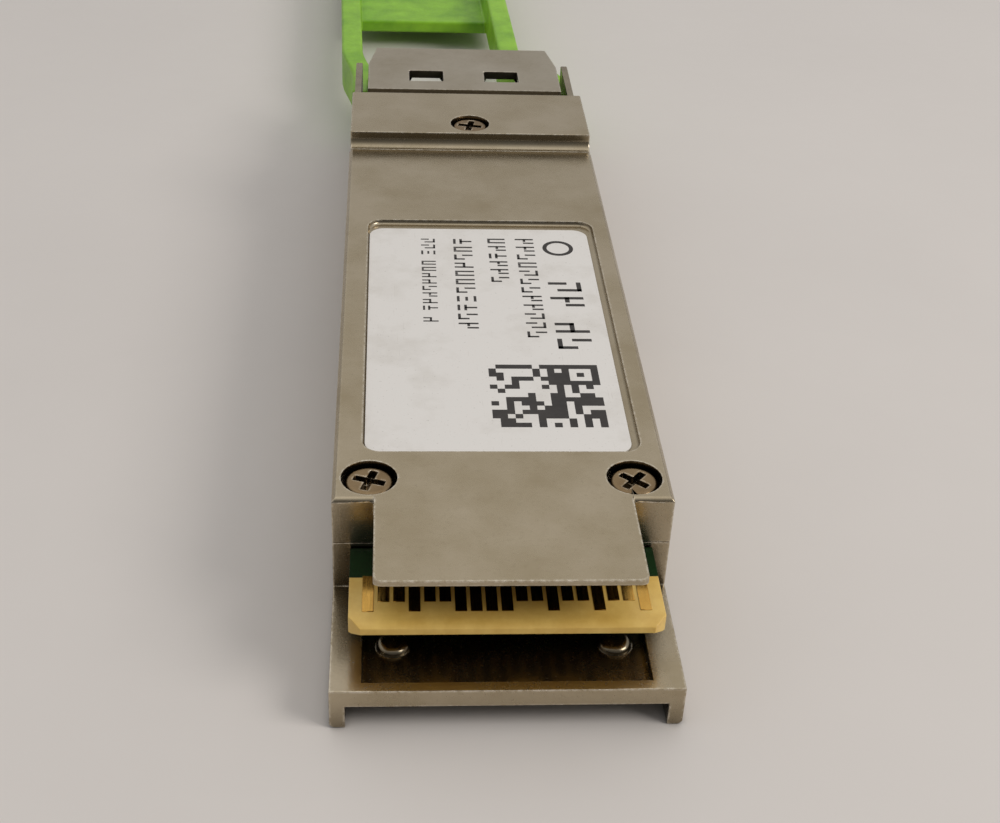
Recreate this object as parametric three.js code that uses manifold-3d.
// Pluggable optical transceiver module with a duplex fibre receptacle and a pull-tab release.
// Millimetres, +Z up. The module lies heat-sink side down and label side up, with the card edge
// towards -Y and the receptacle and pull tab towards +Y. The origin is the middle of the flat
// heat-sink face, halfway between the card end of the shell and the cage stop.

import * as THREE from 'three';
import { mergeVertices } from 'three/addons/utils/BufferGeometryUtils.js';
import Module from 'manifold-3d';

const wasm = await Module();
wasm.setup();

// ---------------------------------------------------------------- driving dimensions

// Shell
const BODY_WIDTH = 18.35;
const BODY_HEIGHT = 8.5;
const SHELL_LENGTH = 52.4; // card end of the shell to the cage stop
const NOSE_LENGTH = 20.0; // cage stop to the receptacle face
const SEAM_HEIGHT = 5.56; // parting plane between base and cover
const FLOOR_THICKNESS = 1.5;
const SIDE_WALL = 1.525;
const COVER_THICKNESS = 1.0;
const EDGE_CHAMFER = 0.2;

// Hood under the card edge
const HOOD_DEPTH = 8.2; // card end of the shell to the cover's shoulders
const HOOD_HEIGHT = 2.54;
const HOOD_FLOOR = 2.0;
const HOOD_SIDE_RIM = 1.7;
const HOOD_END_RIM = 0.7;
const RAIL_WIDTH = 0.83;
const LEAD_IN_HEIGHT = 1.45;
const LEAD_IN_LENGTH = 3.2;
const LEAD_IN_ROOF = 0.8; // level part of the lead-in
const BOSS_DIAMETER = 1.8;
const BOSS_HEIGHT = 0.45;
const BOSS_INSET = 3.275; // side faces to the bosses' centres
const BOSS_SETBACK = 3.9; // card end of the shell to the bosses' centres

// Tongue of the cover, over the card edge
const TONGUE_SIDE_CUT = 2.25; // side faces to the tongue's edges
const TONGUE_LENGTH = 6.65;
const TONGUE_TIP = 0.35; // thickness left at the tip
const TONGUE_RAMP = 1.6; // length of the slope under the tip
const TONGUE_CORNER = 0.5;
const TONGUE_ROOT = 2.0; // how far the tongue runs into the cover
const SHOULDER_ROUND = 0.3; // upper edge of the cover's card end

// Screws
const SCREW_HEAD = 2.8;
const SCREW_HEAD_HEIGHT = 0.85;
const SCREW_SHANK = 1.5;
const SCREW_LENGTH = 4.6; // below the head
const SCREW_POINT = 0.25; // chamfer of the tip
const SCREW_HEAD_ROUND = 0.4;
const SCREW_HEAD_GAP = 0.12; // around the cover screws' heads
const NOSE_HEAD_GAP = 0.06; // around the nose screw's head
const SCREW_RECESS_DEPTH = 1.05;
const SCREW_SIDE_WALL = 0.455; // side faces to the cover screws' recesses
const SCREW_FRONT_WALL = 0.45; // shoulders to the recesses
const SCREW_BACK_WALL = 0.3; // recesses to the cavity
const SCREW_HOLE_SPARE = 0.4; // below the screws' tips
const SCREW_BLOCK_MARGIN = 0.4; // screw blocks wider than the recesses
const CROSS_LENGTH = 1.75;
const CROSS_WIDTH = 0.42;
const CROSS_DEPTH = 0.55;

// Label
const LABEL_SIDE_MARGIN = 1.675;
const LABEL_LENGTH = 26.6;
const LABEL_SETBACK = 4.5; // shoulders to the label
const LABEL_CORNER = 1.0;
const LABEL_THICKNESS = 0.1;
const POCKET_DEPTH = 0.3;
const POCKET_FLOOR_NEAR = 0.1; // pocket floor beyond the label's near and left edges
const POCKET_FLOOR_RIGHT = 0.45;
const POCKET_FLOOR_FAR = 0.9;

// Nose cap
const CAP_LENGTH = 7.8;
const CAP_RISE = 1.1; // above the label side
const CAP_SIDE_STEP = 0.075;
const CAP_ROOF = 2.6;
const NOSE_BOSS_DIAMETER = 2.6;
const CAP_SCREW_SETBACK = 1.9; // cage stop to the nose screw
const CAP_FILLET = 0.7; // concave foot of the stop face

// Receptacle head
const HEAD_SIDE_STEP = 1.225; // side faces to the head's flanks
const HEAD_CORNER_IN = 0.65; // sideways part of the end corners' chamfer
const HEAD_CORNER_BACK = 3.7; // lengthways part of the end corners' chamfer
const HEAD_NECK_LENGTH = 2.8; // part held under the cap
const HEAD_NECK_GAP = 0.4; // under the cap, filled by the nose gasket
const HEAD_STEP_LENGTH = 3.2;
const HEAD_STEP_DEPTH = 0.4;
const NOSE_FLOOR = 1.35;
const PORT_PITCH = 6.25;
const PORT_SIZE = 4.6;
const PORT_AXIS_HEIGHT = 4.1;
const PORT_DEPTH = 9.6;
const KEYWAY_WIDTH = 3.0;
const HEAD_ROOF = 0.7;
const WINDOW_WIDTH = 2.8;
const WINDOW_LENGTH = 2.2;
const WINDOW_SETBACK = 5.0; // receptacle face to the latch windows

// Module card
const CARD_SIDE_STEP = 0.975; // side faces to the card tip's edges
const CARD_THICKNESS = 1.0;
const CARD_TOP = 5.25;
const CARD_PROJECTION = 6.2; // beyond the shoulders
const CARD_FIT = 0.15; // beside the card inside the shell
const CARD_BEVEL = 0.3; // depth of the bevels along the edge
const CARD_BEVEL_LENGTH = 0.48;
const CARD_SHOULDER_GAP = 0.1; // wide tip to the screw blocks
const CARD_CORNER = 0.6;
const CARD_LEDGE = 0.75; // width of the ledges that carry the card

// Edge contacts
const PAD_COUNT = 19;
const PAD_PITCH = 0.8;
const PAD_WIDTH = 0.56;
const PAD_THICKNESS = 0.04;
const PAD_BACK = 4.3; // card edge to the strip that joins the pads
const PAD_START_LONG = 1.0;
const PAD_START_SHORT = 1.75;
const PAD_STRIP = 0.5;
const PAD_GROUP = 3; // a long ground pad, then two short signal pads
const LONG_MIDDLE_PADS = [7, 8, 9]; // power pads, as long as the ground pads

// Optical subassemblies
const PACKAGE_GAP = 0.45; // between the two packages
const PACKAGE_SIDE_GAP = 0.25; // to the return springs
const PACKAGE_SETBACK = 1.1; // cage stop back to the packages
const PACKAGE_CARD_GAP = 0.6;
const PACKAGE_LENGTH = 13.6;
const PACKAGE_HEIGHT = 4.2;
const PACKAGE_WALL = 0.6;
const PACKAGE_LEDGE = 1.6;
const LID_THICKNESS = 0.3;
const PAD_GAP_THICKNESS = 0.4; // thermal pads under the packages
const PACKAGE_PAD_INSET = 0.3;
const BARREL_DIAMETER = 2.9;
const BARREL_FLANGE = 4.2;
const BARREL_FLANGE_LENGTH = 0.9;
const BARREL_BORE = 2.1;
const BARREL_EDGE = 0.2; // chamfer of the barrels' tips
const BARREL_TIP_SETBACK = 4.4; // receptacle face to the barrels' tips
const SLEEVE_BORE = 1.25;
const SLEEVE_LENGTH = 10.5;
const SLEEVE_SETBACK = 0.4; // barrel's tip to the sleeve
const SLEEVE_SLOT = 0.16;
const LIGHT_BORE = 1.0;
const LIGHT_BORE_SIDES = 16;
const ROUND_SIDES = 28; // of every other round piece and hole

// Flexible circuits
const FLEX_WIDTH = 4.6;
const FLEX_THICKNESS = 0.12;
const FLEX_OVERLAP = 1.3;
const FLEX_RISE = 0.5;
const FLEX_ARCH_REACH = 0.25; // arch beyond the gap that it bridges
const FLEX_STEPS = 8;

// Release slide
const SLIDE_TRAVEL = 2.3;
const SLIDE_THICKNESS = 0.55;
const SLIDE_SINK = 0.175; // arms' outer faces below the side faces
const SLIDE_ARM_DROP = 0.3; // parting plane to the arms
const SLIDE_ARM_HEIGHT = 2.3;
const SLIDE_ARM_REACH = 14.3; // cage stop back to the tips of the arms
const SLIDE_FLANK_LENGTH = 9.3;
const SLIDE_FLANK_DROP = 0.3; // label side to the flanks' top edges
const SLIDE_TAIL_LENGTH = 4.0;
const SLIDE_TAIL_BOTTOM = 2.3;
const SLIDE_TAIL_HEIGHT = 2.2;
const BRIDGE_THICKNESS = 0.5;
const BRIDGE_LENGTH = 4.2;
const FLANK_GAP = 0.15; // back of the cap to the flanks
const BRIDGE_SETBACK = 1.9; // back of the cap to the bridge
const EAR_LENGTH = 3.4;
const EAR_HEIGHT = 2.9;
const EAR_RISE = 0.15; // ears above the arms
const EAR_RAMP_LENGTH = 1.5;
const EAR_RAMP_DEPTH = 0.35;
const EAR_POCKET_AHEAD = 2.9; // open side pocket in front of the ears
const LUG_SETBACK = 2.75; // cage stop back to the spring lugs
const LUG_WIDTH = 0.55;
const LUG_HEIGHT = 1.0;
const LUG_POCKET_GAP = 0.2; // spring to the end of the lug's pocket

// Return springs
const SPRING_DIAMETER = 1.25;
const SPRING_WIRE = 0.2;
const SPRING_LENGTH = 6.2;
const SPRING_TURNS = 8;
const SPRING_INSET = 0.75; // cavity walls to the springs' axes
const SPRING_STOP = 0.9;
const SPRING_STOP_MARGIN = 0.1; // stop wider than the spring
const SPRING_STOP_DROP = 0.3; // parting plane to the stop's top
const SPRING_STEPS = 10; // for each turn
const WIRE_SEGMENTS = 3; // for each quarter of the wire's section

// Pull tab
const TAB_ARM_THICKNESS = 1.9;
const TAB_BOTTOM = 1.6;
const TAB_TOP = 5.2;
const TAB_PLATE_TOP = 2.8;
const TAB_ROOT_OUTSET = 0.275; // outer face of the root beyond the side faces
const TAB_ROOT_WALL = 1.4;
const TAB_CLOSE_IN = 1.28; // each arm, from root to grip
const TAB_ROOT_SETBACK = 1.0; // ends of the flanks to the tab
const TAB_STRAIGHT = 3.3; // straight root before the bend
const TAB_BEND = 6.8; // length over which the arms bend and close in
const TAB_SWAY = 2.4; // sideways rest of the flexible arms, towards -X
const TAB_DRIFT = 0.03; // further sideways run per millimetre
const TAB_LENGTH = 47.6;
const TAB_PLATE_LENGTH = 24.0;
const TAB_END_BAR = 2.4;
const TAB_END_ROUND = 3.0;
const TAB_RIBS = 4;
const TAB_RIB_PITCH = 2.6;
const TAB_RIB_WIDTH = 1.1;
const TAB_RIB_HEIGHT = 0.6;
const TAB_ARM_STEPS = 40;

// Clearances
const SEAT_GAP = 0.05; // beside parts that are dropped or pressed in
const SLIDE_GAP = 0.06; // beside parts that slide
const THREAD_GAP = 0.06;
const TRAVEL_SPARE = 0.3; // beyond both ends of the slide's travel
const BRIDGE_HEAD_GAP = 0.2; // above the slide's bridge

// Joining and cutting
const SINK = 0.1; // how far joined shapes run into each other
const OVERRUN = 1; // how far cutters run past what they cut

// ---------------------------------------------------------------- places worked out from them

const HALF_WIDTH = BODY_WIDTH / 2;
const INNER_HALF = HALF_WIDTH - SIDE_WALL;
const CAP_HEIGHT = BODY_HEIGHT + CAP_RISE;
const CAP_WIDTH = BODY_WIDTH - 2 * CAP_SIDE_STEP;
const CAP_UNDERSIDE = CAP_HEIGHT - CAP_ROOF;
const HEAD_WIDTH = BODY_WIDTH - 2 * HEAD_SIDE_STEP;
const HEAD_NECK_TOP = CAP_UNDERSIDE - HEAD_NECK_GAP;
const KEYWAY_TOP = BODY_HEIGHT - HEAD_ROOF;
const TONGUE_WIDTH = BODY_WIDTH - 2 * TONGUE_SIDE_CUT;
const LABEL_WIDTH = BODY_WIDTH - 2 * LABEL_SIDE_MARGIN;
const CARD_WIDTH = BODY_WIDTH - 2 * CARD_SIDE_STEP;
const CARD_INNER_WIDTH = 2 * (INNER_HALF - CARD_FIT);
const SCREW_RECESS = SCREW_HEAD + 2 * SCREW_HEAD_GAP;
const SCREW_OFFSET = HALF_WIDTH - SCREW_SIDE_WALL - SCREW_RECESS / 2;
const SCREW_SETBACK = SCREW_FRONT_WALL + SCREW_RECESS / 2;
const NOSE_RECESS = SCREW_HEAD + 2 * NOSE_HEAD_GAP;
const CORNER_BLOCK = SCREW_RECESS + SCREW_BLOCK_MARGIN;
const SCREW_SEAT_Z = BODY_HEIGHT - SCREW_RECESS_DEPTH;
const SCREW_TIP_Z = SCREW_SEAT_Z - SCREW_LENGTH;
const NOSE_SCREW_SEAT_Z = CAP_HEIGHT - SCREW_RECESS_DEPTH;
const NOSE_SCREW_TIP_Z = NOSE_SCREW_SEAT_Z - SCREW_LENGTH;
const BOSS_OFFSET = HALF_WIDTH - BOSS_INSET;
const SPRING_OFFSET = INNER_HALF - SPRING_INSET;
const TAB_ROOT_HALF_WIDTH = HALF_WIDTH + TAB_ROOT_OUTSET;
const TAB_GRIP_HALF_WIDTH = TAB_ROOT_HALF_WIDTH - TAB_CLOSE_IN;
const END_Y = -SHELL_LENGTH / 2;
const STOP_Y = SHELL_LENGTH / 2;
const SHOULDER_Y = END_Y + HOOD_DEPTH;
const LABEL_Y = SHOULDER_Y + LABEL_SETBACK;
const CAP_FRONT_Y = STOP_Y - CAP_FILLET; // foot of the fillet in front of the stop
const CAP_BACK_Y = STOP_Y + CAP_LENGTH;
const FACE_Y = STOP_Y + NOSE_LENGTH;
const PORT_X = PORT_PITCH / 2;
const CARD_TIP_Y = SHOULDER_Y - CARD_PROJECTION;
const PACKAGE_END_Y = STOP_Y - PACKAGE_SETBACK;
const PACKAGE_Y = PACKAGE_END_Y - PACKAGE_LENGTH;
const CARD_BACK_Y = PACKAGE_Y - PACKAGE_CARD_GAP;
const CARD_BOTTOM = CARD_TOP - CARD_THICKNESS;
const BLOCK_INNER = HALF_WIDTH - CORNER_BLOCK;
const SCREW_Y = SHOULDER_Y + SCREW_SETBACK;
const NOSE_SCREW_Y = STOP_Y + CAP_SCREW_SETBACK;
const BLOCK_BACK_Y = SCREW_Y + SCREW_RECESS / 2 + SCREW_BACK_WALL;
const COVER_CEILING = BODY_HEIGHT - COVER_THICKNESS;
const NECK_Y = CAP_BACK_Y - HEAD_NECK_LENGTH;
const SLIDE_OUTSET = HALF_WIDTH - SLIDE_SINK;
const SLIDE_INSET = SLIDE_OUTSET - SLIDE_THICKNESS;
const GROOVE_INNER = SLIDE_INSET - SLIDE_GAP;
const ARM_TIP_Y = STOP_Y - SLIDE_ARM_REACH;
const ARM_TOP = SEAM_HEIGHT - SLIDE_ARM_DROP;
const ARM_BOTTOM = ARM_TOP - SLIDE_ARM_HEIGHT;
const FLANK_Y = CAP_BACK_Y + FLANK_GAP;
const FLANK_END_Y = FLANK_Y + SLIDE_FLANK_LENGTH;
const BRIDGE_Y = CAP_BACK_Y + BRIDGE_SETBACK;
const LUG_Y = STOP_Y - LUG_SETBACK;
const LUG_Z = PORT_AXIS_HEIGHT - LUG_HEIGHT / 2;
const SPRING_Y = LUG_Y + LUG_WIDTH + SEAT_GAP;
const SPRING_END_Y = SPRING_Y + SPRING_LENGTH;
const TAB_Y = FLANK_END_Y + TAB_ROOT_SETBACK;
const TAB_END_Y = TAB_Y + TAB_LENGTH;
const TAB_PLATE_Y = TAB_END_Y - TAB_PLATE_LENGTH;
const PACKAGE_INNER = PACKAGE_GAP / 2;
const PACKAGE_OUTER = SPRING_OFFSET - SPRING_DIAMETER / 2 - PACKAGE_SIDE_GAP;
const PACKAGE_BOTTOM = FLOOR_THICKNESS + PAD_GAP_THICKNESS;
const PACKAGE_TOP = PACKAGE_BOTTOM + PACKAGE_HEIGHT;
const BARREL_TIP_Y = FACE_Y - BARREL_TIP_SETBACK;

// ---------------------------------------------------------------- finishes

const finish = (color, roughness, metalness) =>
  new THREE.MeshStandardMaterial({ color, roughness, metalness });

const FINISHES = {
  nickelCasting: finish('#968872', 0.42, 0.9),
  nickelHead: finish('#8e8478', 0.5, 0.85),
  steelSheet: finish('#6d6455', 0.45, 0.9),
  screwNickel: finish('#8a7a66', 0.35, 1.0),
  springSteel: finish('#8f9296', 0.3, 1.0),
  printedLabel: finish('#d5d0c8', 0.55, 0.0),
  greenSoftPlastic: finish('#6f9e1c', 0.5, 0.0),
  solderMask: finish('#1d5a2c', 0.45, 0.0),
  gold: finish('#b08a45', 0.3, 1.0),
  blackPackage: finish('#1b1b1c', 0.55, 0.0),
  ceramicCapacitor: finish('#8a7050', 0.5, 0.0),
  ferrite: finish('#3a3a3c', 0.6, 0.2),
  crystalCan: finish('#b9b7b0', 0.3, 1.0),
  goldPlatedPackage: finish('#b99a55', 0.35, 1.0),
  kovarLid: finish('#a9a59b', 0.35, 1.0),
  silicaBlock: finish('#a8c4c4', 0.1, 0.0),
  submount: finish('#d9d4c6', 0.5, 0.0),
  barrelSteel: finish('#9a9ca0', 0.3, 1.0),
  zirconia: finish('#f1ede2', 0.3, 0.0),
  polyimide: finish('#b0702a', 0.4, 0.0),
  thermalPad: finish('#8d97a6', 0.9, 0.0),
  conductiveRubber: finish('#3c3d3f', 0.8, 0.2),
};

// ---------------------------------------------------------------- geometry helpers

// A closed BufferGeometry as a solid that can be joined and cut.
function solid(geometry) {
  const bare = geometry.clone();
  bare.deleteAttribute('normal');
  bare.deleteAttribute('uv');
  const merged = mergeVertices(bare);
  return new wasm.Manifold(new wasm.Mesh({
    numProp: 3,
    vertProperties: new Float32Array(merged.attributes.position.array),
    triVerts: new Uint32Array(merged.index.array),
  }));
}

// A solid as a BufferGeometry.
function surface(shape) {
  const mesh = shape.getMesh();
  const geometry = new THREE.BufferGeometry();
  geometry.setAttribute('position', new THREE.BufferAttribute(mesh.vertProperties, 3));
  geometry.setIndex(new THREE.BufferAttribute(mesh.triVerts, 1));
  geometry.computeVertexNormals();
  return geometry;
}

// A box between two limits on each axis.
function block(x, y, z) {
  const geometry = new THREE.BoxGeometry(x[1] - x[0], y[1] - y[0], z[1] - z[0]);
  geometry.translate((x[0] + x[1]) / 2, (y[0] + y[1]) / 2, (z[0] + z[1]) / 2);
  return solid(geometry);
}

// A box that is centred on X.
const centred = (width, y, z) => block([-width / 2, width / 2], y, z);

const outline = (points) => new THREE.Shape(points.map(([u, v]) => new THREE.Vector2(u, v)));

const extrude = (shape, depth) => new THREE.ExtrudeGeometry(shape, {
  depth,
  bevelEnabled: false,
  curveSegments: 8,
});

// A plan outline (x, y) raised between two heights.
function raised(shape, z) {
  const geometry = extrude(shape, z[1] - z[0]);
  geometry.translate(0, 0, z[0]);
  return solid(geometry);
}

// A cross-section (x, z) drawn out along Y.
function drawnAlongY(shape, y) {
  const geometry = extrude(shape, y[1] - y[0]);
  geometry.rotateX(Math.PI / 2);
  geometry.translate(0, y[1], 0);
  return solid(geometry);
}

// A side profile (y, z) drawn out along X.
function drawnAlongX(shape, x) {
  const geometry = extrude(shape, x[1] - x[0]);
  const turn = new THREE.Matrix4().makeBasis(
    new THREE.Vector3(0, 1, 0),
    new THREE.Vector3(0, 0, 1),
    new THREE.Vector3(1, 0, 0),
  );
  geometry.applyMatrix4(turn);
  geometry.translate(x[0], 0, 0);
  return solid(geometry);
}

// A rectangle with rounded corners, by its limits.
function roundedRectangle(x, y, radius) {
  const shape = new THREE.Shape();
  shape.absarc(x[1] - radius, y[0] + radius, radius, -Math.PI / 2, 0);
  shape.absarc(x[1] - radius, y[1] - radius, radius, 0, Math.PI / 2);
  shape.absarc(x[0] + radius, y[1] - radius, radius, Math.PI / 2, Math.PI);
  shape.absarc(x[0] + radius, y[0] + radius, radius, Math.PI, 1.5 * Math.PI);
  return shape;
}

// An upright round pin, or the cutter for a hole.
function upright(diameter, x, y, z, sides = ROUND_SIDES) {
  const geometry = new THREE.CylinderGeometry(diameter / 2, diameter / 2, z[1] - z[0], sides);
  geometry.rotateX(Math.PI / 2);
  geometry.translate(x, y, (z[0] + z[1]) / 2);
  return solid(geometry);
}

// A round rod along Y, or the cutter for a bore.
function rod(diameter, x, z, y, sides = ROUND_SIDES) {
  const geometry = new THREE.CylinderGeometry(diameter / 2, diameter / 2, y[1] - y[0], sides);
  geometry.translate(x, (y[0] + y[1]) / 2, z);
  return solid(geometry);
}

const join = (shapes) => shapes.reduce((whole, next) => whole.add(next));
const cut = (whole, cutters) => cutters.reduce((left, next) => left.subtract(next), whole);

// The same feature on both sides; draw is given the side, -1 or 1.
const bothSides = (draw) => [-1, 1].flatMap((side) => draw(side));

// Limits measured outwards from the middle, turned to one side.
const outwards = (side, near, far) => (side > 0 ? [near, far] : [-far, -near]);

// ---------------------------------------------------------------- housing

function baseHousing() {
  const chamfer = EDGE_CHAMFER;
  const section = outline([
    [-HALF_WIDTH + chamfer, 0],
    [HALF_WIDTH - chamfer, 0],
    [HALF_WIDTH, chamfer],
    [HALF_WIDTH, SEAM_HEIGHT],
    [-HALF_WIDTH, SEAM_HEIGHT],
    [-HALF_WIDTH, chamfer],
  ]);
  const hoodSection = outline([
    [-HALF_WIDTH + chamfer, 0],
    [HALF_WIDTH - chamfer, 0],
    [HALF_WIDTH, chamfer],
    [HALF_WIDTH, HOOD_HEIGHT],
    [-HALF_WIDTH, HOOD_HEIGHT],
    [-HALF_WIDTH, chamfer],
  ]);
  const noseHalf = HEAD_WIDTH / 2;
  const nosePlan = outline([
    [-noseHalf, CAP_BACK_Y - SIDE_WALL],
    [noseHalf, CAP_BACK_Y - SIDE_WALL],
    [noseHalf, FACE_Y - HEAD_CORNER_BACK],
    [noseHalf - HEAD_CORNER_IN, FACE_Y],
    [-noseHalf + HEAD_CORNER_IN, FACE_Y],
    [-noseHalf, FACE_Y - HEAD_CORNER_BACK],
  ]);
  const body = join([
    drawnAlongY(section, [SHOULDER_Y, CAP_BACK_Y]),
    drawnAlongY(hoodSection, [END_Y, SHOULDER_Y]),
    raised(nosePlan, [0, NOSE_FLOOR]),
  ]);

  const leadIn = drawnAlongX(outline([
    [END_Y - OVERRUN, -OVERRUN],
    [END_Y + LEAD_IN_LENGTH, -OVERRUN],
    [END_Y + LEAD_IN_LENGTH, 0],
    [END_Y + LEAD_IN_ROOF, LEAD_IN_HEIGHT],
    [END_Y - OVERRUN, LEAD_IN_HEIGHT],
  ]), [-HALF_WIDTH + RAIL_WIDTH, HALF_WIDTH - RAIL_WIDTH]);
  const hoodPocket = centred(
    2 * (HALF_WIDTH - HOOD_SIDE_RIM),
    [END_Y + HOOD_END_RIM, BLOCK_BACK_Y + OVERRUN],
    [HOOD_FLOOR, HOOD_HEIGHT + OVERRUN],
  );
  const mouth = centred(
    2 * BLOCK_INNER,
    [SHOULDER_Y - OVERRUN, BLOCK_BACK_Y + OVERRUN],
    [HOOD_FLOOR, SEAM_HEIGHT + OVERRUN],
  );
  const cavity = centred(
    2 * INNER_HALF,
    [BLOCK_BACK_Y, CAP_BACK_Y + OVERRUN],
    [FLOOR_THICKNESS, SEAM_HEIGHT + OVERRUN],
  );
  const screwBlocks = bothSides((side) => block(
    outwards(side, BLOCK_INNER, HALF_WIDTH - EDGE_CHAMFER),
    [SHOULDER_Y, BLOCK_BACK_Y],
    [FLOOR_THICKNESS, SEAM_HEIGHT],
  ));
  const shell = join([cut(body, [leadIn, hoodPocket, mouth, cavity]), ...screwBlocks]);

  const noseBoss = upright(
    NOSE_BOSS_DIAMETER, 0, NOSE_SCREW_Y, [FLOOR_THICKNESS - SINK, CAP_UNDERSIDE - SEAT_GAP]);
  const bosses = bothSides((side) => upright(
    BOSS_DIAMETER,
    side * BOSS_OFFSET,
    END_Y + BOSS_SETBACK,
    [HOOD_FLOOR - SINK, HOOD_FLOOR + BOSS_HEIGHT],
  ));
  const ledges = bothSides((side) => block(
    outwards(side, INNER_HALF - CARD_LEDGE, INNER_HALF + SINK),
    [BLOCK_BACK_Y - SINK, CARD_BACK_Y - FLEX_OVERLAP],
    [FLOOR_THICKNESS - SINK, CARD_BOTTOM],
  ));
  const springStops = bothSides((side) => block(
    outwards(side, SPRING_OFFSET - SPRING_DIAMETER / 2 - SPRING_STOP_MARGIN, INNER_HALF + SINK),
    [SPRING_END_Y, SPRING_END_Y + SPRING_STOP],
    [FLOOR_THICKNESS - SINK, SEAM_HEIGHT - SPRING_STOP_DROP],
  ));
  const pedestals = CHIPS.filter((chip) => chip.pedestal).map((chip) => block(
    [chip.x - chip.size / 2 + PEDESTAL_INSET, chip.x + chip.size / 2 - PEDESTAL_INSET],
    [chip.y - chip.size / 2 + PEDESTAL_INSET, chip.y + chip.size / 2 - PEDESTAL_INSET],
    [FLOOR_THICKNESS - SINK, CARD_BOTTOM - chip.height - CHIP_PAD_THICKNESS],
  ));
  const furnished = join([shell, noseBoss, ...bosses, ...ledges, ...springStops, ...pedestals]);

  const screwHoles = bothSides((side) => upright(
    SCREW_SHANK + THREAD_GAP,
    side * SCREW_OFFSET,
    SCREW_Y,
    [SCREW_TIP_Z - SCREW_HOLE_SPARE, SEAM_HEIGHT + OVERRUN],
  ));
  const noseScrewHole = upright(
    SCREW_SHANK + THREAD_GAP, 0, NOSE_SCREW_Y, [NOSE_SCREW_TIP_Z - SCREW_HOLE_SPARE, CAP_HEIGHT]);
  const grooves = bothSides((side) => [
    block(
      outwards(side, GROOVE_INNER, HALF_WIDTH + OVERRUN),
      [ARM_TIP_Y + EAR_LENGTH, CAP_BACK_Y + OVERRUN],
      [ARM_BOTTOM - SLIDE_GAP, SEAM_HEIGHT + OVERRUN],
    ),
    block(
      outwards(side, GROOVE_INNER, HALF_WIDTH + OVERRUN),
      [ARM_TIP_Y - EAR_POCKET_AHEAD, ARM_TIP_Y + EAR_LENGTH + SLIDE_TRAVEL + TRAVEL_SPARE],
      [EAR_BOTTOM - SLIDE_GAP, SEAM_HEIGHT + OVERRUN],
    ),
    block(
      outwards(side, SPRING_OFFSET - SPRING_DIAMETER / 2 - LUG_POCKET_GAP, GROOVE_INNER + SINK),
      [LUG_Y - TRAVEL_SPARE, LUG_Y + LUG_WIDTH + SLIDE_TRAVEL + TRAVEL_SPARE],
      [LUG_Z - SLIDE_GAP, LUG_Z + LUG_HEIGHT + SLIDE_GAP],
    ),
  ]);
  const gasketGrooves = bothSides(
    (side) => gasketStrip(side, GASKET_WIDTH + 2 * SEAT_GAP, SEAM_HEIGHT + OVERRUN));
  const bridgeRecess = centred(
    2 * HALF_WIDTH,
    [BRIDGE_Y - TRAVEL_SPARE, BRIDGE_Y + BRIDGE_LENGTH + SLIDE_TRAVEL + TRAVEL_SPARE],
    [-OVERRUN, BRIDGE_THICKNESS + BRIDGE_HEAD_GAP],
  );
  return cut(furnished, [...screwHoles, noseScrewHole, ...grooves, ...gasketGrooves, bridgeRecess]);
}

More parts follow.
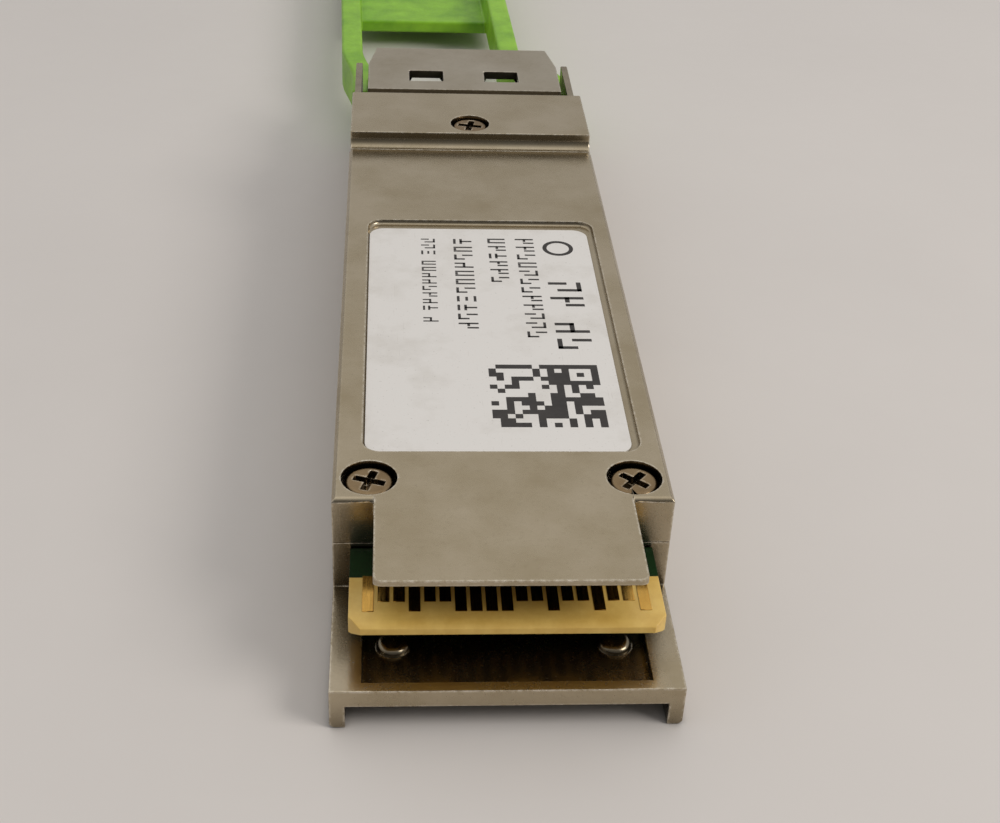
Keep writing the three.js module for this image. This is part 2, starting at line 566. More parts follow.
function labelCover() {
  const chamfer = EDGE_CHAMFER;
  const plate = drawnAlongY(outline([
    [-HALF_WIDTH, SEAM_HEIGHT],
    [HALF_WIDTH, SEAM_HEIGHT],
    [HALF_WIDTH, BODY_HEIGHT - chamfer],
    [HALF_WIDTH - chamfer, BODY_HEIGHT],
    [-HALF_WIDTH + chamfer, BODY_HEIGHT],
    [-HALF_WIDTH, BODY_HEIGHT - chamfer],
  ]), [SHOULDER_Y, CAP_FRONT_Y - SEAT_GAP]);
  const hollow = centred(
    2 * INNER_HALF, [BLOCK_BACK_Y, STOP_Y + OVERRUN], [SEAM_HEIGHT - OVERRUN, COVER_CEILING]);
  const channel = centred(
    2 * BLOCK_INNER,
    [SHOULDER_Y - OVERRUN, BLOCK_BACK_Y + OVERRUN],
    [SEAM_HEIGHT - OVERRUN, COVER_CEILING],
  );
  const edge = new THREE.Shape();
  edge.moveTo(SHOULDER_Y - OVERRUN, BODY_HEIGHT - SHOULDER_ROUND);
  edge.absarc(
    SHOULDER_Y + SHOULDER_ROUND, BODY_HEIGHT - SHOULDER_ROUND, SHOULDER_ROUND, Math.PI, Math.PI / 2, true);
  edge.lineTo(SHOULDER_Y + SHOULDER_ROUND, BODY_HEIGHT + OVERRUN);
  edge.lineTo(SHOULDER_Y - OVERRUN, BODY_HEIGHT + OVERRUN);
  const shoulderRound = drawnAlongX(edge, [-HALF_WIDTH - OVERRUN, HALF_WIDTH + OVERRUN]);

  const tipY = SHOULDER_Y - TONGUE_LENGTH;
  const half = TONGUE_WIDTH / 2;
  const plan = new THREE.Shape();
  plan.moveTo(half, SHOULDER_Y + TONGUE_ROOT);
  plan.lineTo(-half, SHOULDER_Y + TONGUE_ROOT);
  plan.absarc(-half + TONGUE_CORNER, tipY + TONGUE_CORNER, TONGUE_CORNER, Math.PI, 1.5 * Math.PI);
  plan.absarc(half - TONGUE_CORNER, tipY + TONGUE_CORNER, TONGUE_CORNER, 1.5 * Math.PI, 2 * Math.PI);
  const ramp = drawnAlongX(outline([
    [tipY - OVERRUN, COVER_CEILING - OVERRUN],
    [tipY + TONGUE_RAMP, COVER_CEILING - OVERRUN],
    [tipY + TONGUE_RAMP, COVER_CEILING],
    [tipY, BODY_HEIGHT - TONGUE_TIP],
    [tipY - OVERRUN, BODY_HEIGHT - TONGUE_TIP],
  ]), [-half - OVERRUN, half + OVERRUN]);
  const tongue = cut(raised(plan, [COVER_CEILING, BODY_HEIGHT]), [ramp]);

  const screwSeats = bothSides((side) => [
    upright(SCREW_RECESS, side * SCREW_OFFSET, SCREW_Y, [SCREW_SEAT_Z, BODY_HEIGHT + OVERRUN]),
    upright(
      SCREW_SHANK + 2 * THREAD_GAP,
      side * SCREW_OFFSET,
      SCREW_Y,
      [SEAM_HEIGHT - OVERRUN, BODY_HEIGHT + OVERRUN],
    ),
  ]);
  const pocket = raised(
    roundedRectangle(
      [-LABEL_WIDTH / 2 - POCKET_FLOOR_NEAR, LABEL_WIDTH / 2 + POCKET_FLOOR_RIGHT],
      [LABEL_Y - POCKET_FLOOR_NEAR, LABEL_Y + LABEL_LENGTH + POCKET_FLOOR_FAR],
      LABEL_CORNER,
    ),
    [BODY_HEIGHT - POCKET_DEPTH, BODY_HEIGHT + OVERRUN],
  );
  return cut(
    join([cut(plate, [hollow, channel, shoulderRound]), tongue]),
    [...screwSeats, pocket],
  );
}

function label() {
  const bottom = BODY_HEIGHT - POCKET_DEPTH;
  const plan = roundedRectangle(
    [-LABEL_WIDTH / 2, LABEL_WIDTH / 2], [LABEL_Y, LABEL_Y + LABEL_LENGTH], LABEL_CORNER);
  return raised(plan, [bottom, bottom + LABEL_THICKNESS]);
}

function noseCap() {
  const half = CAP_WIDTH / 2;
  const back = CAP_BACK_Y;
  const profile = new THREE.Shape();
  profile.moveTo(CAP_FRONT_Y, CAP_UNDERSIDE);
  profile.lineTo(back, CAP_UNDERSIDE);
  profile.lineTo(back, CAP_HEIGHT - EDGE_CHAMFER);
  profile.lineTo(back - EDGE_CHAMFER, CAP_HEIGHT);
  profile.lineTo(STOP_Y, CAP_HEIGHT);
  profile.absarc(CAP_FRONT_Y, BODY_HEIGHT + CAP_FILLET, CAP_FILLET, 0, -Math.PI / 2, true);
  const roof = drawnAlongX(profile, [-half, half]);
  const skirts = bothSides((side) => block(
    outwards(side, INNER_HALF, half), [CAP_FRONT_Y, back], [SEAM_HEIGHT, CAP_UNDERSIDE + SINK]));
  return cut(join([roof, ...skirts]), [
    upright(NOSE_RECESS, 0, NOSE_SCREW_Y, [NOSE_SCREW_SEAT_Z, CAP_HEIGHT + OVERRUN]),
    upright(SCREW_SHANK + 2 * THREAD_GAP, 0, NOSE_SCREW_Y, [CAP_UNDERSIDE - OVERRUN, CAP_HEIGHT]),
  ]);
}

function receptacleHead() {
  const half = HEAD_WIDTH / 2;
  const plan = outline([
    [-half, CAP_BACK_Y + SEAT_GAP],
    [half, CAP_BACK_Y + SEAT_GAP],
    [half, FACE_Y - HEAD_CORNER_BACK],
    [half - HEAD_CORNER_IN, FACE_Y],
    [-half + HEAD_CORNER_IN, FACE_Y],
    [-half, FACE_Y - HEAD_CORNER_BACK],
  ]);
  const neckHalf = INNER_HALF - SEAT_GAP;
  const neck = centred(2 * neckHalf, [NECK_Y, CAP_BACK_Y + OVERRUN], [FLOOR_THICKNESS, HEAD_NECK_TOP]);
  const step = centred(
    2 * (half + OVERRUN),
    [CAP_BACK_Y - OVERRUN, CAP_BACK_Y + HEAD_STEP_LENGTH],
    [BODY_HEIGHT - HEAD_STEP_DEPTH, BODY_HEIGHT + OVERRUN],
  );
  const body = join([cut(raised(plan, [NOSE_FLOOR, BODY_HEIGHT]), [step]), neck]);

  const portY = [FACE_Y - PORT_DEPTH, FACE_Y + OVERRUN];
  const portHalf = PORT_SIZE / 2;
  const keyHalf = KEYWAY_WIDTH / 2;
  const windowHalf = WINDOW_WIDTH / 2;
  const ports = bothSides((side) => {
    const x = side * PORT_X;
    return [
      block(
        [x - portHalf, x + portHalf],
        portY,
        [PORT_AXIS_HEIGHT - portHalf, PORT_AXIS_HEIGHT + portHalf],
      ),
      block([x - keyHalf, x + keyHalf], portY, [PORT_AXIS_HEIGHT, KEYWAY_TOP]),
      block(
        [x - windowHalf, x + windowHalf],
        [FACE_Y - WINDOW_SETBACK - WINDOW_LENGTH, FACE_Y - WINDOW_SETBACK],
        [KEYWAY_TOP - OVERRUN, BODY_HEIGHT + OVERRUN],
      ),
      rod(BARREL_DIAMETER + 2 * SEAT_GAP, x, PORT_AXIS_HEIGHT, [NECK_Y - OVERRUN, FACE_Y]),
    ];
  });
  const gasketSlot = noseGasketBlock(SEAT_GAP, OVERRUN);
  return cut(body, [...ports, gasketSlot]);
}

// ---------------------------------------------------------------- screws

// A pan-head screw with a cross recess, standing upright with its seat at z = 0.
function screw() {
  const headRadius = SCREW_HEAD / 2;
  const shankRadius = SCREW_SHANK / 2;
  const crown = [0, 1, 2, 3].map((step) => {
    const turn = ((step / 3) * Math.PI) / 2;
    return [
      headRadius - SCREW_HEAD_ROUND * (1 - Math.cos(turn)),
      SCREW_HEAD_HEIGHT - SCREW_HEAD_ROUND * (1 - Math.sin(turn)),
    ];
  });
  const profile = [
    [0, -SCREW_LENGTH],
    [shankRadius - SCREW_POINT, -SCREW_LENGTH],
    [shankRadius, -SCREW_LENGTH + SCREW_POINT],
    [shankRadius, 0],
    [headRadius, 0],
    ...crown,
    [0, SCREW_HEAD_HEIGHT],
  ].map(([radius, height]) => new THREE.Vector2(radius, height));
  const turned = new THREE.LatheGeometry(profile, ROUND_SIDES);
  turned.rotateX(Math.PI / 2);
  const crossFloor = SCREW_HEAD_HEIGHT - CROSS_DEPTH;
  const bar = (x, y) => block(
    [-x / 2, x / 2], [-y / 2, y / 2], [crossFloor, SCREW_HEAD_HEIGHT + OVERRUN]);
  return cut(solid(turned), [bar(CROSS_LENGTH, CROSS_WIDTH), bar(CROSS_WIDTH, CROSS_LENGTH)]);
}

// ---------------------------------------------------------------- gaskets

const GASKET_WIDTH = 0.35;
const GASKET_HEIGHT = 0.3;
const GASKET_INSET = 0.2; // cavity wall to the side gaskets
const GASKET_END_GAP = 0.5;
const NOSE_GASKET_SETBACK = 0.9; // end of the neck to the nose gasket
const NOSE_GASKET_WIDTH = 1.0;
const NOSE_GASKET_LENGTH = 13.0;

function gasketStrip(side, width, top) {
  const middle = INNER_HALF + GASKET_INSET + GASKET_WIDTH / 2;
  return block(
    outwards(side, middle - width / 2, middle + width / 2),
    [BLOCK_BACK_Y + GASKET_END_GAP, STOP_Y - GASKET_END_GAP],
    [SEAM_HEIGHT - GASKET_HEIGHT, top],
  );
}

function noseGasketBlock(grow, above) {
  const start = NECK_Y + NOSE_GASKET_SETBACK;
  return centred(
    NOSE_GASKET_LENGTH + 2 * grow,
    [start - grow, start + NOSE_GASKET_WIDTH + grow],
    [HEAD_NECK_TOP - GASKET_HEIGHT, above ? HEAD_NECK_TOP + above : CAP_UNDERSIDE],
  );
}

// ---------------------------------------------------------------- module card

const CARD_TIP_BACK_Y = SHOULDER_Y - CARD_SHOULDER_GAP; // back of the wide tip, in front of the screw blocks
const CARD_NECK_HALF = BLOCK_INNER - CARD_FIT;
const CARD_NECK_END_Y = BLOCK_BACK_Y + CARD_FIT;

function cardOutline() {
  const tip = CARD_WIDTH / 2;
  const inner = CARD_INNER_WIDTH / 2;
  return outline([
    [-tip + CARD_CORNER, CARD_TIP_Y],
    [tip - CARD_CORNER, CARD_TIP_Y],
    [tip, CARD_TIP_Y + CARD_CORNER],
    [tip, CARD_TIP_BACK_Y],
    [CARD_NECK_HALF, CARD_TIP_BACK_Y],
    [CARD_NECK_HALF, CARD_NECK_END_Y],
    [inner, CARD_NECK_END_Y],
    [inner, CARD_BACK_Y],
    [-inner, CARD_BACK_Y],
    [-inner, CARD_NECK_END_Y],
    [-CARD_NECK_HALF, CARD_NECK_END_Y],
    [-CARD_NECK_HALF, CARD_TIP_BACK_Y],
    [-tip, CARD_TIP_BACK_Y],
    [-tip, CARD_TIP_Y + CARD_CORNER],
  ]);
}

function paddleCard() {
  const board = raised(cardOutline(), [CARD_BOTTOM, CARD_TOP]);
  const bevel = (top) => {
    const outside = top ? CARD_TOP + OVERRUN : CARD_BOTTOM - OVERRUN;
    const face = top ? CARD_TOP : CARD_BOTTOM;
    const inside = top ? CARD_TOP - CARD_BEVEL : CARD_BOTTOM + CARD_BEVEL;
    const points = [
      [CARD_TIP_Y - OVERRUN, outside],
      [CARD_TIP_Y + CARD_BEVEL_LENGTH, outside],
      [CARD_TIP_Y + CARD_BEVEL_LENGTH, face],
      [CARD_TIP_Y, inside],
      [CARD_TIP_Y - OVERRUN, inside],
    ];
    return drawnAlongX(outline(points), [-CARD_WIDTH, CARD_WIDTH]);
  };
  return cut(board, [bevel(true), bevel(false)]);
}

// A row of edge contacts. The ground and power pads reach nearer to the card's edge.
function contactRow(bottom) {
  const z = [bottom, bottom + PAD_THICKNESS];
  const stripY = CARD_TIP_Y + PAD_BACK;
  const pads = [];
  for (let index = 0; index < PAD_COUNT; index += 1) {
    const x = (index - (PAD_COUNT - 1) / 2) * PAD_PITCH;
    const isLong = index % PAD_GROUP === 0 || LONG_MIDDLE_PADS.includes(index);
    const start = isLong ? PAD_START_LONG : PAD_START_SHORT;
    const y = [CARD_TIP_Y + start, stripY + PAD_STRIP / 2];
    pads.push(block([x - PAD_WIDTH / 2, x + PAD_WIDTH / 2], y, z));
  }
  const strip = centred((PAD_COUNT - 1) * PAD_PITCH + PAD_WIDTH, [stripY, stripY + PAD_STRIP], z);
  return join([strip, ...pads]);
}

// A place along the wide part of the card, as a share of its length from the inner end.
const alongCard = (share) => CARD_BACK_Y - share * (CARD_BACK_Y - CARD_NECK_END_Y);

// Chips on the card. Those with a pedestal sit under it, cooled by the base.
const CHIP_PAD_THICKNESS = 0.5;
const CHIP_PAD_INSET = 0.3;
const CHIP_CORNER = 0.15;
const PEDESTAL_INSET = 0.2;
const CHIPS = [
  { name: 'retimer_chip', x: 0, y: alongCard(0.66), size: 6.4, height: 0.8, pedestal: true },
  { name: 'laser_driver_chip', x: -3.2, y: alongCard(0.23), size: 4.0, height: 0.7, pedestal: true },
  { name: 'receiver_amplifier_chip', x: 3.2, y: alongCard(0.23), size: 4.0, height: 0.7, pedestal: true },
  { name: 'microcontroller', x: -3.4, y: alongCard(0.6), size: 5.0, height: 0.85, pedestal: false },
  { name: 'power_regulator', x: 3.6, y: alongCard(0.76), size: 3.0, height: 0.8, pedestal: false },
];

// Small two-ended parts on top of the card; the inductors and the capacitor after them are in a row.
const ROW_PITCH = 3.0;
const ROW_Y = alongCard(0.59);
const ROW_END_Y = ROW_Y + 2 * ROW_PITCH;
const SMALL_PARTS = [
  { name: 'inductor_1', x: 4.4, y: ROW_Y, size: [2.5, 2.0, 1.2], finish: 'ferrite' },
  { name: 'inductor_2', x: 4.4, y: ROW_Y + ROW_PITCH, size: [2.5, 2.0, 1.2], finish: 'ferrite' },
  { name: 'crystal', x: -4.4, y: alongCard(0.38), size: [2.0, 1.6, 0.6], finish: 'crystalCan' },
  { name: 'capacitor_1', x: 0.9, y: alongCard(0.8), size: [0.8, 1.6, 0.8], finish: 'ceramicCapacitor' },
  { name: 'capacitor_2', x: 0.9, y: alongCard(0.68), size: [0.8, 1.6, 0.8], finish: 'ceramicCapacitor' },
  { name: 'capacitor_3', x: 1.4, y: alongCard(0.39), size: [0.8, 1.6, 0.8], finish: 'ceramicCapacitor' },
  { name: 'capacitor_4', x: 3.6, y: ROW_END_Y, size: [1.6, 0.8, 0.8], finish: 'ceramicCapacitor' },
];

function chipBody(chip) {
  const half = chip.size / 2;
  const z = chip.pedestal ? [CARD_BOTTOM - chip.height, CARD_BOTTOM] : [CARD_TOP, CARD_TOP + chip.height];
  const plan = roundedRectangle(
    [chip.x - half, chip.x + half], [chip.y - half, chip.y + half], CHIP_CORNER);
  return raised(plan, z);
}

function chipPad(chip) {
  const half = chip.size / 2 - CHIP_PAD_INSET;
  const top = CARD_BOTTOM - chip.height;
  return block(
    [chip.x - half, chip.x + half], [chip.y - half, chip.y + half], [top - CHIP_PAD_THICKNESS, top]);
}

function smallPart(part) {
  const [width, length, height] = part.size;
  return block(
    [part.x - width / 2, part.x + width / 2],
    [part.y - length / 2, part.y + length / 2],
    [CARD_TOP, CARD_TOP + height],
  );
}

// ---------------------------------------------------------------- optical subassemblies

// Sideways limits of a package, drawn in by an inset.
const packageSpan = (side, inset) => outwards(side, PACKAGE_INNER + inset, PACKAGE_OUTER - inset);

function packageBody(side) {
  const wall = PACKAGE_WALL;
  const outer = block(packageSpan(side, 0), [PACKAGE_Y, PACKAGE_END_Y], [PACKAGE_BOTTOM, PACKAGE_TOP]);
  const ledge = block(
    packageSpan(side, -OVERRUN),
    [PACKAGE_Y - OVERRUN, PACKAGE_Y + PACKAGE_LEDGE],
    [CARD_TOP, PACKAGE_TOP + OVERRUN],
  );
  const hollow = block(
    packageSpan(side, wall),
    [PACKAGE_Y + PACKAGE_LEDGE + wall, PACKAGE_END_Y - wall],
    [PACKAGE_BOTTOM + wall, PACKAGE_TOP + OVERRUN],
  );
  const beam = rod(
    LIGHT_BORE,
    side * PORT_X,
    PORT_AXIS_HEIGHT,
    [PACKAGE_END_Y - wall - OVERRUN, PACKAGE_END_Y + OVERRUN],
    LIGHT_BORE_SIDES,
  );
  return cut(outer, [ledge, hollow, beam]);
}

function packageLid(side) {
  return block(
    packageSpan(side, 0),
    [PACKAGE_Y + PACKAGE_LEDGE, PACKAGE_END_Y],
    [PACKAGE_TOP, PACKAGE_TOP + LID_THICKNESS],
  );
}

function packagePad(side) {
  const inset = PACKAGE_PAD_INSET;
  return block(
    packageSpan(side, inset),
    [PACKAGE_Y + inset, PACKAGE_END_Y - inset],
    [FLOOR_THICKNESS, PACKAGE_BOTTOM],
  );
}

const PACKAGE_FLOOR = PACKAGE_BOTTOM + PACKAGE_WALL;
const CARRIER_Y = PACKAGE_Y + PACKAGE_LEDGE + PACKAGE_WALL + 0.4;
const CARRIER_LENGTH = 2.2;
const CARRIER_SIDE_GAP = 0.3;
const CARRIER_DROP = 0.25; // light axis to the carrier's top
const LANES = 4;
const DIE_WIDTH = 0.44;
const DIE_HEIGHT = 0.15;
const DIE_SETBACK = 0.2; // carrier's edge to the dies
const GLASS_GAP = 0.5; // beside the glass block and in front of it
const GLASS_END_GAP = 0.8;
const GLASS_SLANT = 0.5;
const GLASS_RISE = 0.6; // light axis to the block's top

// Carrier with one small die for each wavelength lane.
function laneArray(side, dieLength) {
  const carrierTop = PORT_AXIS_HEIGHT - CARRIER_DROP;
  const [left, right] = packageSpan(side, PACKAGE_WALL + CARRIER_SIDE_GAP);
  const carrier = block(
    [left, right], [CARRIER_Y, CARRIER_Y + CARRIER_LENGTH], [PACKAGE_FLOOR, carrierTop]);
  const dieEnd = CARRIER_Y + CARRIER_LENGTH - DIE_SETBACK;
  const pitch = (right - left) / LANES;
  const dies = [];
  for (let lane = 0; lane < LANES; lane += 1) {
    const middle = left + (lane + 0.5) * pitch;
    dies.push(block(
      [middle - DIE_WIDTH / 2, middle + DIE_WIDTH / 2],
      [dieEnd - dieLength, dieEnd],
      [carrierTop - SINK, carrierTop + DIE_HEIGHT],
    ));
  }
  return join([carrier, ...dies]);
}

// Glass block that brings the four lanes together, or splits them, with its angled entry face.
function waveguideBlock(side) {
  const [left, right] = packageSpan(side, PACKAGE_WALL + GLASS_GAP);
  const start = CARRIER_Y + CARRIER_LENGTH + GLASS_GAP;
  const end = PACKAGE_END_Y - PACKAGE_WALL - GLASS_END_GAP;
  const plan = outline([
    [left, start],
    [right, start + GLASS_SLANT],
    [right, end],
    [left, end],
  ]);
  return raised(plan, [PACKAGE_FLOOR, PORT_AXIS_HEIGHT + GLASS_RISE]);
}

// Metal barrel with a flange against the package and a bore that takes the ferrule sleeve.
function barrel(side) {
  const flangeY = PACKAGE_END_Y + SEAT_GAP;
  const bodyY = flangeY + BARREL_FLANGE_LENGTH;
  const sleeveY = BARREL_TIP_Y - SLEEVE_SETBACK - SLEEVE_LENGTH - SEAT_GAP;
  const radius = BARREL_DIAMETER / 2;
  const bore = BARREL_BORE / 2;
  const light = LIGHT_BORE / 2;
  const profile = [
    [light, flangeY],
    [BARREL_FLANGE / 2, flangeY],
    [BARREL_FLANGE / 2, bodyY],
    [radius, bodyY],
    [radius, BARREL_TIP_Y - BARREL_EDGE],
    [radius - BARREL_EDGE, BARREL_TIP_Y],
    [bore, BARREL_TIP_Y],
    [bore, sleeveY],
    [light, sleeveY],
    [light, flangeY],
  ].map(([r, y]) => new THREE.Vector2(r, y));
  const turned = new THREE.LatheGeometry(profile, ROUND_SIDES);
  turned.translate(side * PORT_X, 0, PORT_AXIS_HEIGHT);
  return solid(turned);
}

// Split ceramic sleeve inside the barrel; its slot faces up.
function ceramicSleeve(side) {
  const outer = BARREL_BORE / 2 - SEAT_GAP;
  const inner = SLEEVE_BORE / 2;
  const end = BARREL_TIP_Y - SLEEVE_SETBACK;
  const start = end - SLEEVE_LENGTH;
  const profile = [[inner, start], [outer, start], [outer, end], [inner, end], [inner, start]]
    .map(([r, y]) => new THREE.Vector2(r, y));
  const turned = new THREE.LatheGeometry(profile, ROUND_SIDES);
  const slot = block(
    [-SLEEVE_SLOT / 2, SLEEVE_SLOT / 2], [start - OVERRUN, end + OVERRUN], [0, outer + OVERRUN]);
  const sleeve = cut(solid(turned), [slot]);
  return sleeve.translate([side * PORT_X, 0, PORT_AXIS_HEIGHT]);
}

// Flexible circuit that arches from the card to the package's ledge.
function flexCircuit(side) {
  const start = CARD_BACK_Y - FLEX_OVERLAP;
  const end = PACKAGE_Y + FLEX_OVERLAP;
  const middle = (CARD_BACK_Y + PACKAGE_Y) / 2;
  const arch = (PACKAGE_Y - CARD_BACK_Y) / 2 + FLEX_ARCH_REACH;
  const curve = [];
  for (let step = 0; step <= FLEX_STEPS; step += 1) {
    const turn = step / FLEX_STEPS;
    const y = middle - arch + 2 * arch * turn;
    curve.push([y, CARD_TOP + FLEX_RISE * Math.sin(Math.PI * turn) ** 2]);
  }
  const lower = [[start, CARD_TOP], ...curve, [end, CARD_TOP]];
  const upper = lower.map(([y, z]) => [y, z + FLEX_THICKNESS]).reverse();
  const x = side * PORT_X;
  return drawnAlongX(outline([...lower, ...upper]), [x - FLEX_WIDTH / 2, x + FLEX_WIDTH / 2]);
}

// ---------------------------------------------------------------- release slide and springs

const EAR_BOTTOM = ARM_TOP + EAR_RISE - EAR_HEIGHT;

// One pressing: two side arms with ramped ears, two flanks beside the head, and the bridge.
function releaseSlide() {
  const sides = bothSides((side) => {
    const sheet = outwards(side, SLIDE_INSET, SLIDE_OUTSET);
    return [
      block(sheet, [ARM_TIP_Y, FLANK_Y + OVERRUN], [ARM_BOTTOM, ARM_TOP]),
      block(sheet, [ARM_TIP_Y, ARM_TIP_Y + EAR_LENGTH], [EAR_BOTTOM, EAR_BOTTOM + EAR_HEIGHT]),
      block(sheet, [FLANK_Y, FLANK_END_Y], [SEAT_GAP, BODY_HEIGHT - SLIDE_FLANK_DROP]),
      block(
        sheet,
        [FLANK_END_Y - OVERRUN, FLANK_END_Y + SLIDE_TAIL_LENGTH],
        [SLIDE_TAIL_BOTTOM, SLIDE_TAIL_BOTTOM + SLIDE_TAIL_HEIGHT],
      ),
      block(
        outwards(side, SPRING_OFFSET - SPRING_DIAMETER / 2, SLIDE_INSET + SINK),
        [LUG_Y, LUG_Y + LUG_WIDTH],
        [LUG_Z, LUG_Z + LUG_HEIGHT],
      ),
    ];
  });
  const bridge = centred(
    2 * SLIDE_OUTSET,
    [BRIDGE_Y, BRIDGE_Y + BRIDGE_LENGTH],
    [SEAT_GAP, SEAT_GAP + BRIDGE_THICKNESS],
  );
  const ramps = bothSides((side) => {
    const outer = side * (SLIDE_OUTSET + SINK);
    const points = [
      [outer, ARM_TIP_Y - SINK],
      [outer, ARM_TIP_Y + EAR_RAMP_LENGTH],
      [side * (SLIDE_OUTSET - EAR_RAMP_DEPTH), ARM_TIP_Y - SINK],
    ];
    return raised(outline(points), [EAR_BOTTOM - OVERRUN, EAR_BOTTOM + EAR_HEIGHT + OVERRUN]);
  });
  return cut(join([...sides, bridge]), ramps);
}

class Helix extends THREE.Curve {
  constructor(radius, length, turns) {
    super();
    this.radius = radius;
    this.length = length;
    this.turns = turns;
  }

  getPoint(t, target = new THREE.Vector3()) {
    const angle = 2 * Math.PI * this.turns * t;
    return target.set(
      this.radius * Math.cos(angle),
      this.length * (t - 0.5),
      this.radius * Math.sin(angle),
    );
  }
}

function returnSpring(side) {
  const radius = (SPRING_DIAMETER - SPRING_WIRE) / 2;
  const travel = SPRING_LENGTH - SPRING_WIRE - 2 * SEAT_GAP;
  const wire = new THREE.Shape();
  wire.absarc(0, 0, SPRING_WIRE / 2, 0, 2 * Math.PI);
  const geometry = new THREE.ExtrudeGeometry(wire, {
    steps: SPRING_TURNS * SPRING_STEPS,
    curveSegments: WIRE_SEGMENTS,
    bevelEnabled: false,
    extrudePath: new Helix(radius, travel, SPRING_TURNS),
  });
  geometry.translate(side * SPRING_OFFSET, SPRING_Y + SPRING_LENGTH / 2, PORT_AXIS_HEIGHT);
  return solid(geometry);
}

// ---------------------------------------------------------------- pull tab

const smooth = (t) => {
  const s = Math.min(Math.max(t, 0), 1);
  return s * s * (3 - 2 * s);
};

// Where the tab's middle line and half width are at a place along its length.
function tabMiddle(y) {
  const bend = smooth((y - TAB_Y - TAB_STRAIGHT) / TAB_BEND);
  const drift = Math.max(y - TAB_Y - TAB_STRAIGHT - TAB_BEND, 0) * TAB_DRIFT;
  return -TAB_SWAY * bend - drift;
}

function tabHalfWidth(y) {
  const bend = smooth((y - TAB_Y - TAB_STRAIGHT) / TAB_BEND);
  return TAB_ROOT_HALF_WIDTH + (TAB_GRIP_HALF_WIDTH - TAB_ROOT_HALF_WIDTH) * bend;
}

// Plan of a strip that follows the bent tab between two places across it.
function tabStrip(y, innerOf, outerOf, steps) {
  const near = [];
  const far = [];
  for (let step = 0; step <= steps; step += 1) {
    const at = y[0] + ((y[1] - y[0]) * step) / steps;
    near.push([tabMiddle(at) + innerOf(at), at]);
    far.push([tabMiddle(at) + outerOf(at), at]);
  }
  return outline([...near, ...far.reverse()]);
}

// A thinner root wall wraps the slide's tails.
const tabWall = (y) => (y < TAB_Y + TAB_STRAIGHT ? TAB_ROOT_WALL : TAB_ARM_THICKNESS);

function pullTab() {
  const arms = bothSides((side) => {
    const outer = (y) => side * tabHalfWidth(y);
    const inner = (y) => side * (tabHalfWidth(y) - tabWall(y));
    return raised(tabStrip([TAB_Y, TAB_END_Y], inner, outer, TAB_ARM_STEPS), [TAB_BOTTOM, TAB_TOP]);
  });
  const reach = (y) => tabHalfWidth(y) - 4 * SINK;
  const across = (y, z) => raised(tabStrip(y, (at) => -reach(at), reach, 2), z);
  const plate = across([TAB_PLATE_Y, TAB_END_Y], [TAB_BOTTOM, TAB_PLATE_TOP]);
  const endBar = across([TAB_END_Y - TAB_END_BAR, TAB_END_Y], [TAB_BOTTOM, TAB_TOP]);
  const ribs = [];
  for (let index = 0; index < TAB_RIBS; index += 1) {
    const start = TAB_END_Y - TAB_END_BAR - TAB_RIB_PITCH * (index + 1);
    const z = [TAB_PLATE_TOP - SINK, TAB_PLATE_TOP + TAB_RIB_HEIGHT];
    ribs.push(across([start, start + TAB_RIB_WIDTH], z));
  }
  const corners = bothSides((side) => {
    const x = tabMiddle(TAB_END_Y) + side * tabHalfWidth(TAB_END_Y);
    const centreX = x - side * TAB_END_ROUND;
    const centreY = TAB_END_Y - TAB_END_ROUND;
    const corner = new THREE.Shape();
    corner.moveTo(x + side * OVERRUN, centreY);
    corner.lineTo(x + side * OVERRUN, TAB_END_Y + OVERRUN);
    corner.lineTo(centreX, TAB_END_Y + OVERRUN);
    corner.absarc(centreX, centreY, TAB_END_ROUND, Math.PI / 2, side > 0 ? 0 : Math.PI, side > 0);
    return raised(corner, [TAB_BOTTOM - OVERRUN, TAB_TOP + OVERRUN]);
  });
  const sockets = bothSides((side) => block(
    outwards(side, SLIDE_INSET - SEAT_GAP, SLIDE_OUTSET + SEAT_GAP),
    [TAB_Y - OVERRUN, FLANK_END_Y + SLIDE_TAIL_LENGTH + SEAT_GAP],
    [SLIDE_TAIL_BOTTOM - SEAT_GAP, SLIDE_TAIL_BOTTOM + SLIDE_TAIL_HEIGHT + SEAT_GAP],
  ));
  return cut(join([...arms, plate, endBar, ...ribs]), [...corners, ...sockets]);
}

// ---------------------------------------------------------------- assembly

const part = new THREE.Group();

function place(name, shape, finishName, position = [0, 0, 0]) {
  const mesh = new THREE.Mesh(surface(shape), FINISHES[finishName]);
  mesh.name = name;
  mesh.position.set(...position);
  part.add(mesh);
}

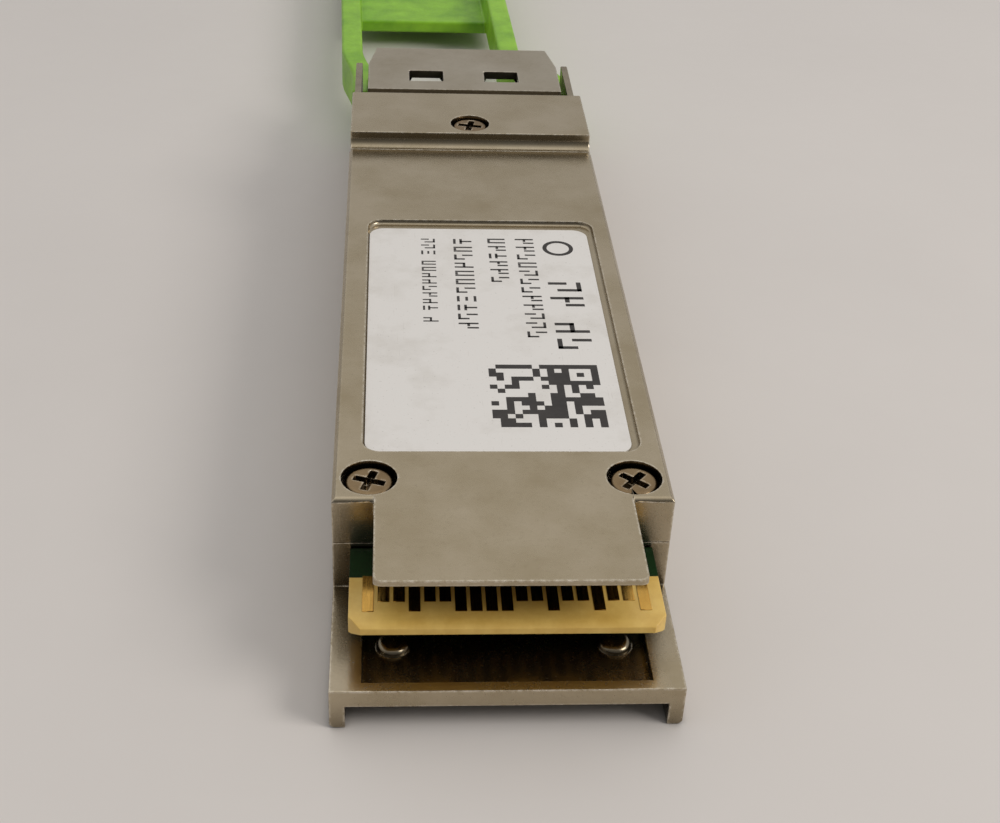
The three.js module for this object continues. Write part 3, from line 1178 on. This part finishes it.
place('base_housing', baseHousing(), 'nickelCasting');
place('label_cover', labelCover(), 'nickelCasting');
place('label', label(), 'printedLabel');
place('nose_cap', noseCap(), 'nickelCasting');
place('receptacle_head', receptacleHead(), 'nickelHead');

place('cover_screw_left', screw(), 'screwNickel', [-SCREW_OFFSET, SCREW_Y, SCREW_SEAT_Z]);
place('cover_screw_right', screw(), 'screwNickel', [SCREW_OFFSET, SCREW_Y, SCREW_SEAT_Z]);
place('nose_screw', screw(), 'screwNickel', [0, NOSE_SCREW_Y, NOSE_SCREW_SEAT_Z]);

place('seam_gasket_left', gasketStrip(-1, GASKET_WIDTH, SEAM_HEIGHT), 'conductiveRubber');
place('seam_gasket_right', gasketStrip(1, GASKET_WIDTH, SEAM_HEIGHT), 'conductiveRubber');
place('nose_gasket', noseGasketBlock(0, 0), 'conductiveRubber');

place('paddle_card', paddleCard(), 'solderMask');
place('contact_row_top', contactRow(CARD_TOP), 'gold');
place('contact_row_bottom', contactRow(CARD_BOTTOM - PAD_THICKNESS), 'gold');
for (const chip of CHIPS) {
  place(chip.name, chipBody(chip), 'blackPackage');
  if (chip.pedestal) place(`${chip.name}_thermal_pad`, chipPad(chip), 'thermalPad');
}
for (const small of SMALL_PARTS) place(small.name, smallPart(small), small.finish);

for (const [name, side] of [['transmitter', -1], ['receiver', 1]]) {
  const transmits = name === 'transmitter';
  place(`${name}_package`, packageBody(side), 'goldPlatedPackage');
  place(`${name}_lid`, packageLid(side), 'kovarLid');
  place(`${name}_thermal_pad`, packagePad(side), 'thermalPad');
  place(`${name}_barrel`, barrel(side), 'barrelSteel');
  place(`${name}_ceramic_sleeve`, ceramicSleeve(side), 'zirconia');
  place(`${name}_flex`, flexCircuit(side), 'polyimide');
  place(transmits ? 'multiplexer_block' : 'demultiplexer_block', waveguideBlock(side), 'silicaBlock');
  place(transmits ? 'laser_array' : 'detector_array', laneArray(side, transmits ? 1.0 : 0.5), 'submount');
}

place('release_slide', releaseSlide(), 'steelSheet');
place('return_spring_left', returnSpring(-1), 'springSteel');
place('return_spring_right', returnSpring(1), 'springSteel');
place('pull_tab', pullTab(), 'greenSoftPlastic');

export default part;
